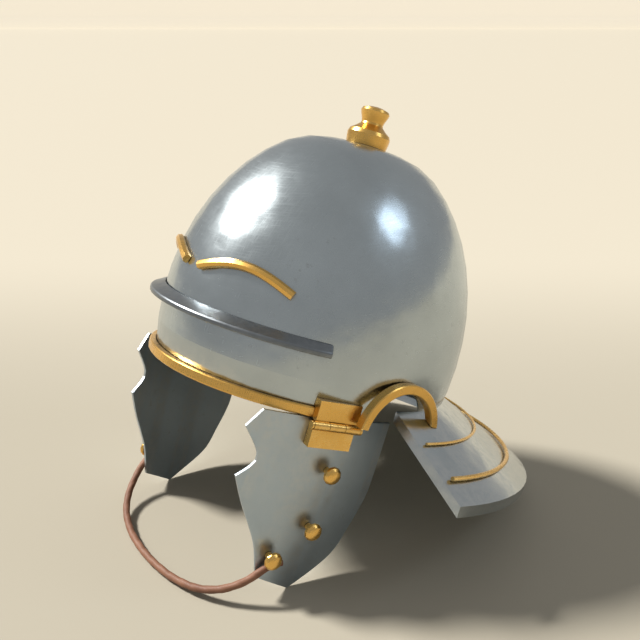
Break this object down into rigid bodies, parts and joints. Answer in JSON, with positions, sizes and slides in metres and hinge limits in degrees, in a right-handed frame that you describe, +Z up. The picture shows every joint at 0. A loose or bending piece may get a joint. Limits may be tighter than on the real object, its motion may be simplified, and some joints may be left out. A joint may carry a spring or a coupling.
{
  "type": "roman legionary helmet",
  "caption": "Domed iron helmet with a sloping neck guard, brow peak, ear guards, hinged cheek guards, brass trim, a turned crown knob and a leather chin lace.",
  "frame": {"origin": "on the floor under the middle of the helmet's outline, measured without the chin lace", "axes": "+Z up from the floor the helmet stands on, -Y the way the face looks, +X the wearer's left"},
  "size_m": [0.324, 0.3195, 0.2947],
  "materials": {
    "iron": "polished hammered sheet",
    "dark_iron": "dark satin",
    "brass": "worn satin",
    "leather": "matt"
  },
  "bodies": {
    "root": {"helmet_bowl": "iron", "brow_peak": "dark_iron", "brow_trim": "brass", "eyebrow_left": "brass", "eyebrow_right": "brass", "ear_guard_left": "brass", "ear_guard_right": "brass", "crest_knob": "brass", "neck_wire_inner": "brass", "neck_wire_outer": "brass", "hinge_upper_left": "brass", "hinge_upper_right": "brass", "hinge_lower_left": "brass", "hinge_lower_right": "brass", "hinge_pin_left": "brass", "hinge_pin_right": "brass", "cheek_guard_left": "iron", "cheek_guard_right": "iron", "cheek_boss_1_left": "brass", "cheek_boss_1_right": "brass", "cheek_boss_2_left": "brass", "cheek_boss_2_right": "brass", "cheek_boss_3_left": "brass", "cheek_boss_3_right": "brass", "chin_lace": "leather"}
  },
  "joints": []
}
